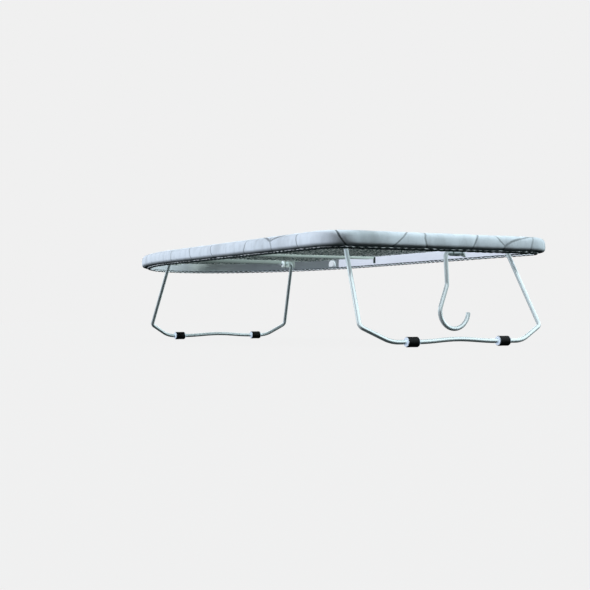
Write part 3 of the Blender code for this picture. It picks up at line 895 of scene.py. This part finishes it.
def make_deck(material):
    """Expanded steel: diamonds of slit and stretched sheet, each strand a tilted flat bar."""
    starts, ends = cut_to_outline(*diamond_strands())
    ahead = ends - starts
    ahead /= np.linalg.norm(ahead, axis=1)[:, None]
    across = np.stack([ahead[:, 1], -ahead[:, 0]], axis=1)
    across *= np.sign(across[:, :1])
    reach = ahead * STRAND_WIDTH * 0.2
    rise, lean = sin(STRAND_TILT), cos(STRAND_TILT)
    wide = np.column_stack([across * lean, np.full(len(across), rise)]) * STRAND_WIDTH / 2
    thick = np.column_stack([across * -rise, np.full(len(across), lean)]) * STRAND_THICKNESS / 2
    level = np.full((len(starts), 1), (DECK_LOW.z + DECK_HIGH.z) / 2)
    corners = []
    for end in (starts - reach, ends + reach):
        centre = np.hstack([end, level])
        for sideways, upward in ((-1, -1), (1, -1), (1, 1), (-1, 1)):
            corners.append(centre + sideways * wide + upward * thick)
    verts = np.stack(corners, axis=1).reshape(-1, 3)
    box = np.array([(0, 1, 2, 3), (7, 6, 5, 4), (0, 4, 5, 1), (1, 5, 6, 2), (2, 6, 7, 3), (3, 7, 4, 0)])
    faces = (np.arange(len(starts))[:, None, None] * 8 + box[None]).reshape(-1, 4)
    mesh = mesh_from("expanded_steel", verts, faces)
    mesh.shade_flat()
    shape = bmesh.new()
    shape.from_mesh(mesh)
    bmesh.ops.recalc_face_normals(shape, faces=shape.faces)
    shape.to_mesh(mesh)
    shape.free()
    return add_piece("expanded_deck", mesh, material, "board", ["mesh_deck"])


def rim_section():
    """The steel band's section, as (inset, z), with its corners rounded."""
    outer, inner = RIM_INSET, RIM_INSET + RIM_THICKNESS
    low, high = RIM_LOW.z, RIM_HIGH.z
    section = []
    for inset, z, first in ((outer, low, 180), (inner, low, 270), (inner, high, 0), (outer, high, 90)):
        centre_inset = inset + RIM_CORNER * (1 if inset == outer else -1)
        centre_z = z + RIM_CORNER * (1 if z == low else -1)
        for step in range(4):
            angle = radians(first + 30 * step)
            section.append((centre_inset + RIM_CORNER * cos(angle), centre_z + RIM_CORNER * sin(angle)))
    return section[::-1]


def make_rim(nose_paint, tail_paint):
    """The rim's steel band: a strip round the nose and a strip round the tail, which meet by the clip."""
    half_way = np.linspace(0, PERIMETER / 2, 2000)
    joint_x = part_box("rim_clip")[0].x - STRIP_JOINT_GAP
    joint = half_way[np.argmin(np.abs(edge_at(half_way)[0][:, 0] - joint_x))]
    section = rim_section()
    count = len(section)
    for name, start, end, material in (("nose_strip", -joint, joint, nose_paint),
                                       ("tail_strip", joint, PERIMETER - joint, tail_paint)):
        along = np.linspace(start, end, RIM_COLUMNS)
        verts = np.concatenate([ring_at(along, inset, z) for inset, z in section])
        faces = [f for f in grid_faces(count, RIM_COLUMNS, wrap_rows=True) if f[1] % RIM_COLUMNS]
        faces.append([row * RIM_COLUMNS for row in range(count)])
        faces.append([(count - row) * RIM_COLUMNS - 1 for row in range(count)])
        mesh = mesh_from(name, verts, faces, crease=50)
        add_piece("rim_" + name, mesh, material, "board", ["rim_band"])


def make_heads(name, places, radius, height, material):
    """Low round heads that hang from a face, such as rivets and weld nuggets."""
    shape = bmesh.new()
    for place in places:
        made = bmesh.ops.create_uvsphere(shape, u_segments=16, v_segments=10, radius=1)["verts"]
        bmesh.ops.scale(shape, vec=(radius, radius, height), verts=made)
        bmesh.ops.translate(shape, vec=place, verts=made)
    add_piece(name, mesh_of(shape, name), material, "board")


def make_clip(plated):
    """The clip inside the rim: a plate with a round top and soft edges."""
    low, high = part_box("rim_clip")
    middle, shoulder = (low.x + high.x) / 2, (high.x - low.x) / 2
    rise = 0.85 * shoulder
    top = arc((middle, high.z - rise), (shoulder, rise), 0, pi, 17)
    outline = [(high.x, low.z), *top, (low.x, low.z)]
    verts = [(x, y, z) for y in (low.y, high.y) for x, z in outline]
    count = len(outline)
    faces = [*grid_faces(2, count), range(count - 1, -1, -1), range(count, 2 * count)]
    shape = bmesh.new()
    shape.from_mesh(mesh_from("clip_plate", verts, faces))
    bmesh.ops.recalc_face_normals(shape, faces=shape.faces)
    edges = [e for e in shape.edges if e.calc_face_angle() > radians(60)]
    bmesh.ops.bevel(shape, geom=edges, offset=CLIP_EDGE, segments=2, profile=0.5, affect="EDGES")
    mesh = mesh_of(shape, "rim_clip_formed", crease=40)
    add_piece("rim_clip_formed", mesh, plated, "board", ["rim_clip"])


def weld_places(rails):
    """Under the web of each rail, where nuggets hold it to the deck."""
    places = []
    for node in rails:
        low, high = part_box(node)
        half = min(high.y, RAIL_TONGUE_Y)
        count = max(3, round(half / WELD_PITCH))
        for step in range(count):
            y = half * (2 * (step + 0.5) / count - 1)
            places.append(((low.x + high.x) / 2, y, high.z - SHEET))
    return places


def rivet_places():
    """Under each leg bracket's flange, on both sides of the leg's wire."""
    places = []
    for end, leg in reversed(LEGS.items()):
        for side, sign in (("left", 1), ("right", -1)):
            low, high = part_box(f"{end}_bracket_{side}")
            front = low.x + RIVET_EDGE if leg["splay"] > 0 else high.x - RIVET_EDGE
            for offset in RIVET_OFFSETS:
                places.append((front, sign * (leg["top"] + offset), high.z - SHEET))
    return places


def make_metalwork(rail_paint, middle_paint, hook_paint, plated):
    """The rails and brackets with their edges rounded, the clip, and the welds and rivets."""
    rails = ["nose_rail", "middle_rail", "tail_rail"]
    brackets = [f"{end}_bracket_{side}" for end in ("nose", "tail") for side in ("left", "right")]
    own_paint = {"middle_rail": middle_paint, "hook_bracket": hook_paint}
    for node in rails + brackets + ["hook_bracket"]:
        material = own_paint.get(node, rail_paint)
        add_piece(node + "_formed", refined(node), material, "board", [node])
    make_clip(plated)
    make_heads("rail_welds", weld_places(rails), 0.0022, 0.0004, rail_paint)
    make_heads("bracket_rivets", rivet_places(), 0.0017, 0.0007, plated)


# --- legs and hook ---

def joint_place(name):
    return Vector(next(j["pos_m"] for j in frame["joints"] if j["name"] == name))


def middle_of(node):
    low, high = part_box(node)
    return (low + high) / 2


def make_leg(end, leg, wire_paint, black, pale, plated):
    """One leg's wire, from bracket to bracket round its knees and its bar, with sleeves and rings."""
    body = end + "_leg"
    pivot = joint_place(body + "_fold")
    foot = middle_of(end + "_foot_left")
    down = Vector((foot.x - pivot.x, 0, foot.z - pivot.z))
    length = down.length
    down.normalize()
    knee = (pivot.z - KNEE_Z) / -down.z
    bar_edge = foot.y - FOOT_SEAT

    def at(y, drop):
        return pivot + down * drop + Vector((0, y, 0))

    corners = [at(leg["top"] - WIRE_END_REACH, 0), at(leg["top"], 0), at(leg["knee"], knee),
               at(leg["bar"], length), at(bar_edge, length)]
    left = rounded_path(corners, [END_BEND_RADIUS, KNEE_BEND_RADIUS, BAR_BEND_RADIUS])
    arch = []
    for step in range(1, ARCH_STEPS):
        along = 1 - 2 * step / ARCH_STEPS
        arch.append(at(bar_edge * along, length - BAR_ARCH * cos(pi / 2 * along) ** 2))
    right = [Vector((p.x, -p.y, p.z)) for p in reversed(left)]
    mesh = sweep(body + "_wire", left + arch + right, WIRE_RADIUS, WIRE_SIDES, chamfer=0.0004)
    add_piece(body + "_wire", mesh, wire_paint, body, [body])
    for side in ("left", "right"):
        make_foot(f"{end}_foot_{side}", body, black, pale)
        make_washer(f"{end}_ring_{side}", body, plated)


def make_foot(node, body, black, pale):
    """A rubber sleeve on the wire, with a pale liner that shows at both ends."""
    low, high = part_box(node)
    place = (low + high) / 2
    radius = (high.z - low.z) / 2
    half = (high.y - low.y) / 2
    bore = WIRE_RADIUS + 0.0003
    lip = 0.0008
    edge = 0.0004
    body_half = half - lip
    far = [(bore, body_half), (radius - edge, body_half), (radius, body_half - edge), (radius, body_half / 2)]
    profile = far + [(radius - 0.00008, 0)] + [(r, -along) for r, along in reversed(far)]
    add_turned(node + "_sleeve", profile, place, black, body, [node])
    rim = radius - 0.0005
    for end, sign in (("a", 1), ("b", -1)):
        a, b = sign * (body_half + 0.00005), sign * half
        ring = [(bore, a), (rim, a), (rim, b - sign * 0.0003), (rim - 0.0003, b), (bore + 0.0002, b),
                (bore, b - sign * 0.0002)]
        if sign > 0:
            ring.reverse()
        add_turned(f"{node}_liner_{end}", ring, place, pale, body)


def make_washer(node, body, plated):
    """A push-on ring with round edges."""
    low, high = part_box(node)
    radius, half = (high.z - low.z) / 2, (high.y - low.y) / 2
    edge = 0.00025
    profile = []
    for centre, first in ((radius - edge, -90), (WIRE_RADIUS + 0.0002 + edge, 90)):
        for step in range(5):
            angle = radians(first + 45 * step)
            face = (half - edge) * np.sign(sin(angle))
            profile.append((centre + edge * cos(angle), face + edge * sin(angle)))
    add_turned(node + "_washer", profile[::-1], middle_of(node), plated, body, [node], 28)


def make_hook(wire_paint):
    """The hanging hook's wire: an arm in its bracket, a shank with a knee, and a round bowl."""
    pivot = joint_place("hook_swing")
    knee = Vector((pivot.x, *SHANK_KNEE))
    bowl = Vector((pivot.x, *BOWL))
    to_knee = knee - bowl
    start = atan2(to_knee.z, to_knee.y) - acos(BOWL_RADIUS / to_knee.length)
    circle = []
    for step in range(BOWL_STEPS + 1):
        angle = start + (BOWL_END - start) * step / BOWL_STEPS
        circle.append(bowl + BOWL_RADIUS * Vector((0, cos(angle), sin(angle))))
    corners = [Vector((pivot.x, ARM_END_Y, pivot.z - ARM_END_DROP)), Vector((pivot.x, ARM_END_Y, pivot.z)),
               Vector((pivot.x, SHANK_Y, pivot.z)), knee, circle[0]]
    path = rounded_path(corners, [HOOK_BEND_RADIUS, HOOK_BEND_RADIUS, HOOK_KNEE_RADIUS]) + circle[1:]
    mesh = sweep("hook_wire", path, WIRE_RADIUS, WIRE_SIDES, chamfer=0.0005)
    add_piece("hanging_hook_wire", mesh, wire_paint, "hook", ["hanging_hook"])


# --- stage ---

def make_camera():
    data = bpy.data.cameras.new("camera")
    data.lens = CAMERA_LENS
    camera = link_new("camera", data)
    level = cos(CAMERA_PITCH)
    ahead = Vector((cos(CAMERA_YAW) * level, sin(CAMERA_YAW) * level, sin(CAMERA_PITCH)))
    camera.location = CAMERA_PLACE
    camera.rotation_euler = (ahead.to_track_quat("-Z", "Y") @ Quaternion((0, 0, 1), CAMERA_ROLL)).to_euler()
    bpy.context.scene.camera = camera


def make_world():
    """An even pale background to look at, a soft dome of light, and one with a dark band for reflections."""
    world = bpy.data.worlds.new("studio")
    bpy.context.scene.world = world
    world.use_nodes = True
    world.cycles.sampling_method = "NONE"
    world.node_tree.nodes.clear()
    g = Graph(world.node_tree)
    way = g.split(g.node("ShaderNodeTexCoord")["Generated"])
    bearing = g.math("ARCTAN2", way["Y"], way["X"])
    shade = g.math("SUBTRACT", g.band(bearing, *SHADE_START), g.band(bearing, *SHADE_END))
    dome = g.mix(g.band(way["Z"], *DOME_HORIZON), DOME_DOWN, DOME_UP)
    gloss = g.mix(g.band(way["Z"], *GLOSS_HORIZON), GLOSS_DOWN, g.mix(shade, GLOSS_UP, GLOSS_SHADE))
    ray = g.node("ShaderNodeLightPath")
    seen = g.mix(ray["Is Camera Ray"], g.mix(ray["Is Glossy Ray"], dome, gloss), BACKGROUND)
    g.node("ShaderNodeOutputWorld", {0: g.node("ShaderNodeBackground", {"Color": seen})[0]})


def make_lights():
    """Suns without shadows, made when every piece is there, as one of them leaves a piece out."""
    pieces = [thing for thing in bpy.context.scene.objects if thing.type == "MESH"]
    for name, azimuth, elevation, strength, colour, left_out in SUNS:
        data = bpy.data.lights.new(name, "SUN")
        data.angle = SUN_SPREAD
        data.energy = strength
        data.color = colour
        data.use_shadow = False
        lamp = link_new(name, data)
        lamp.visible_glossy = False
        a, e = radians(azimuth), radians(elevation)
        towards = Vector((cos(a) * cos(e), sin(a) * cos(e), sin(e)))
        lamp.rotation_euler = towards.to_track_quat("Z", "Y").to_euler()
        if left_out:
            lit = bpy.data.collections.new("lit_by_" + name)
            for piece in pieces:
                if piece.name != left_out:
                    lit.objects.link(piece)
            lamp.light_linking.receiver_collection = lit


def make_floor():
    """A pale floor that meets the background without an edge and takes only a faint shadow."""
    corners = [(x * FLOOR_REACH, y * FLOOR_REACH, 0) for x, y in ((-1, -1), (1, -1), (1, 1), (-1, 1))]
    mesh = mesh_from("floor", corners, [(0, 1, 2, 3)])
    material = bpy.data.materials.new("floor")
    material.use_nodes = True
    material.node_tree.nodes.clear()
    g = Graph(material.node_tree)
    glow = g.node("ShaderNodeEmission", {"Color": BACKGROUND})[0]
    matt = g.node("ShaderNodeBsdfDiffuse", {"Color": FLOOR_WHITE})[0]
    above = g.node("ShaderNodeMixShader", {0: FLOOR_SHADOW, 1: glow, 2: matt})[0]
    clear = g.node("ShaderNodeBsdfTransparent")[0]
    from_below = g.node("ShaderNodeNewGeometry")["Backfacing"]
    both = g.node("ShaderNodeMixShader", {0: from_below, 1: above, 2: clear})[0]
    g.node("ShaderNodeOutputMaterial", {0: both})
    mesh.materials.append(material)
    floor = link_new("floor", mesh)
    floor.visible_diffuse = False
    floor.visible_glossy = False


def main():
    bpy.context.scene.view_settings.view_transform = "Standard"
    make_camera()
    make_world()

    wire_paint = paint("wire_paint", (0.86, 0.94, 0.96), (0.70, 0.78, 0.80), 0.16, 0.45)
    rail_paint = paint("rail_paint", (0.43, 0.48, 0.45), (0.28, 0.32, 0.30), 0.38)
    # The nose strip: grey as painted shade, with a patch of painted light.
    nose_strip_light_and_shade = repainted("nose_strip_light_and_shade", STRIP_SHADE_GREY, 0.34, painted_light_patch)
    rim_paint = paint("rim_paint", (0.86, 0.86, 0.93), (0.50, 0.55, 0.58), 0.30)
    deck_steel = speckled_steel("deck_steel", (1.0, 1.0, 0.98), (0.095, 0.130, 0.122))
    plated = paint("plated_steel", (0.97, 0.98, 1.0), (0.72, 0.76, 0.82), 0.30, 0.1)
    black = rubber("foot_rubber", (0.002, 0.0025, 0.0025), (0.014, 0.017, 0.018))
    pale = grained("liner_nylon", (0.66, 0.72, 0.84), (0.76, 0.82, 0.92), 500, 0.45, 0.00003, 0.4)
    # The binding's near-black is painted shade under the rim.
    painted_shade_binding = grained("binding_painted_shade", (0.010, 0.013, 0.014), (0.034, 0.044, 0.045), *YARN)
    thread = grained("overlock_thread", (0.74, 0.78, 0.84), (1.0, 1.0, 1.0), *YARN)

    cover = make_cover(cover_fabric("cover_fabric"))
    # The felt's dark grey-green is partly painted shade under the deck.
    pad = make_pad(felt("pad_felt", (0.060, 0.075, 0.074), (0.20, 0.24, 0.235), (0.13, 0.15, 0.15)))
    binding = make_binding(painted_shade_binding)
    overlock = make_overlock(thread)
    make_deck(deck_steel)
    make_rim(nose_strip_light_and_shade, rim_paint)
    middle_paint = repainted("middle_rail_paint", (0.62, 0.68, 0.64), 0.38, shaded_lips_and_dark_ends)
    hook_paint = paint("hook_bracket_paint", (0.10, 0.125, 0.118), (0.20, 0.23, 0.22), 0.40)
    make_metalwork(rail_paint, middle_paint, hook_paint, plated)
    for end, leg in LEGS.items():
        make_leg(end, leg, wire_paint, black, pale, plated)
    make_hook(wire_paint)
    make_lights()
    make_floor()


main()
